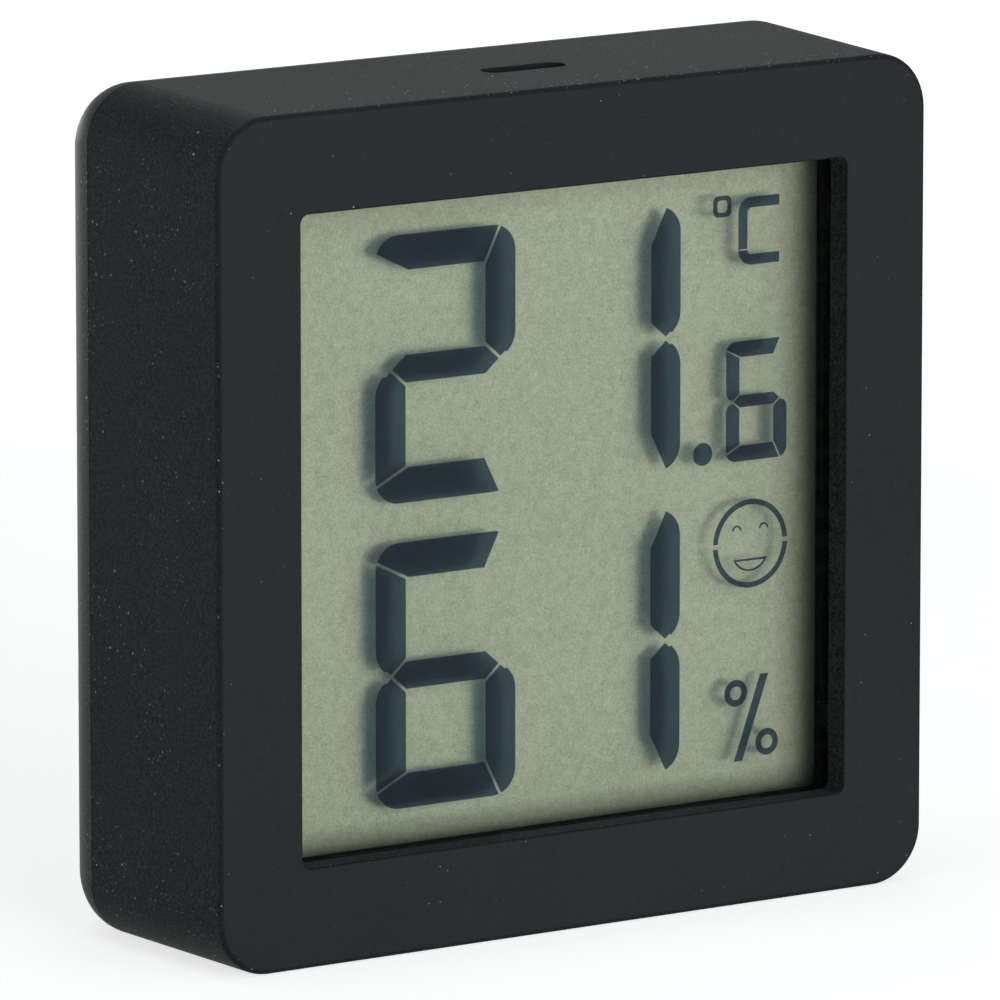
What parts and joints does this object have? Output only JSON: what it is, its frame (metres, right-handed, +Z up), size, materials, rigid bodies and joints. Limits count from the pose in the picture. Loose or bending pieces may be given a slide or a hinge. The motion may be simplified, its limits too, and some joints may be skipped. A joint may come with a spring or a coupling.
{
  "type": "temperature humidity sensor",
  "caption": "Small square free-standing temperature and humidity sensor with a liquid crystal display, a top vent slot, a fold-out stand, a battery door and a unit button on its back.",
  "frame": {"origin": "middle of the bounding box at the base, on the surface that the sensor stands on", "axes": "+Z up, the display faces -Y, +X to the right as seen from the front"},
  "size_m": [0.046, 0.0164, 0.046],
  "materials": {
    "case_black": "matt, fine moulded grain",
    "adhesive": "black adhesive frame",
    "polariser": "satin anti-glare film",
    "clear_glass": "clear",
    "display_ink": "dark blue-black",
    "seal": "clear epoxy",
    "reflector": "grey-green, fine grain",
    "holder_black": "matt black moulding",
    "elastomer": "finely striped silicone strip",
    "board_green": "solder mask over glass fibre board",
    "epoxy_black": "epoxy blob",
    "component_dark": "moulded component bodies",
    "component_tan": "fired ceramic",
    "sensor_white": "white ceramic cap",
    "bead_epoxy": "dipped epoxy bead",
    "steel": "nickel plated",
    "spring_steel": "nickel plated strip",
    "gasket": "nylon sealing ring",
    "magnet": "nickel plated magnet",
    "button_black": "matt",
    "plunger_brown": "brown switch plunger"
  },
  "bodies": {
    "case": {"front_casing": "case_black", "rear_cover": "case_black", "lcd_tape": "adhesive", "lcd_front_polariser": "polariser", "lcd_front_glass": "clear_glass", "lcd_segments": "display_ink", "lcd_edge_seal": "seal", "lcd_rear_glass": "clear_glass", "lcd_rear_polariser": "polariser", "lcd_reflector": "reflector", "lcd_holder": "holder_black", "zebra_connector": "elastomer", "circuit_board": "board_green", "chip_blob": "epoxy_black", "crystal_can": "steel", "crystal_leads": "steel", "chip_resistors": "component_dark", "chip_capacitors": "component_tan", "humidity_sensor": "sensor_white", "thermistor_bead": "bead_epoxy", "thermistor_leads": "steel", "switch_body": "component_dark", "board_screws": "steel", "battery_negative_contact": "spring_steel", "battery_positive_contact": "spring_steel", "coin_cell_can": "steel", "coin_cell_gasket": "gasket", "coin_cell_cap": "steel", "magnets": "magnet"},
    "stand": {"stand": "case_black"},
    "battery_door": {"battery_door": "case_black"},
    "unit_button": {"unit_button": "button_black", "switch_plunger": "plunger_brown"}
  },
  "joints": [
    {"name": "stand_hinge", "type": "hinge", "parent": "case", "child": "stand", "pos_m": [0, 0.0074, 0.031], "axis": [1, 0, 0], "range_deg": [0, 60]},
    {"name": "battery_door_hinge", "type": "hinge", "parent": "case", "child": "battery_door", "pos_m": [0, 0.00755, 0.01125], "axis": [-1, 0, 0], "range_deg": [0, 50]},
    {"name": "unit_button_slide", "type": "slide", "parent": "case", "child": "unit_button", "axis": [0, -1, 0], "range_m": [0, 0.0004], "stiffness_N_per_m": 400, "springref_m": -0.0006}
  ]
}
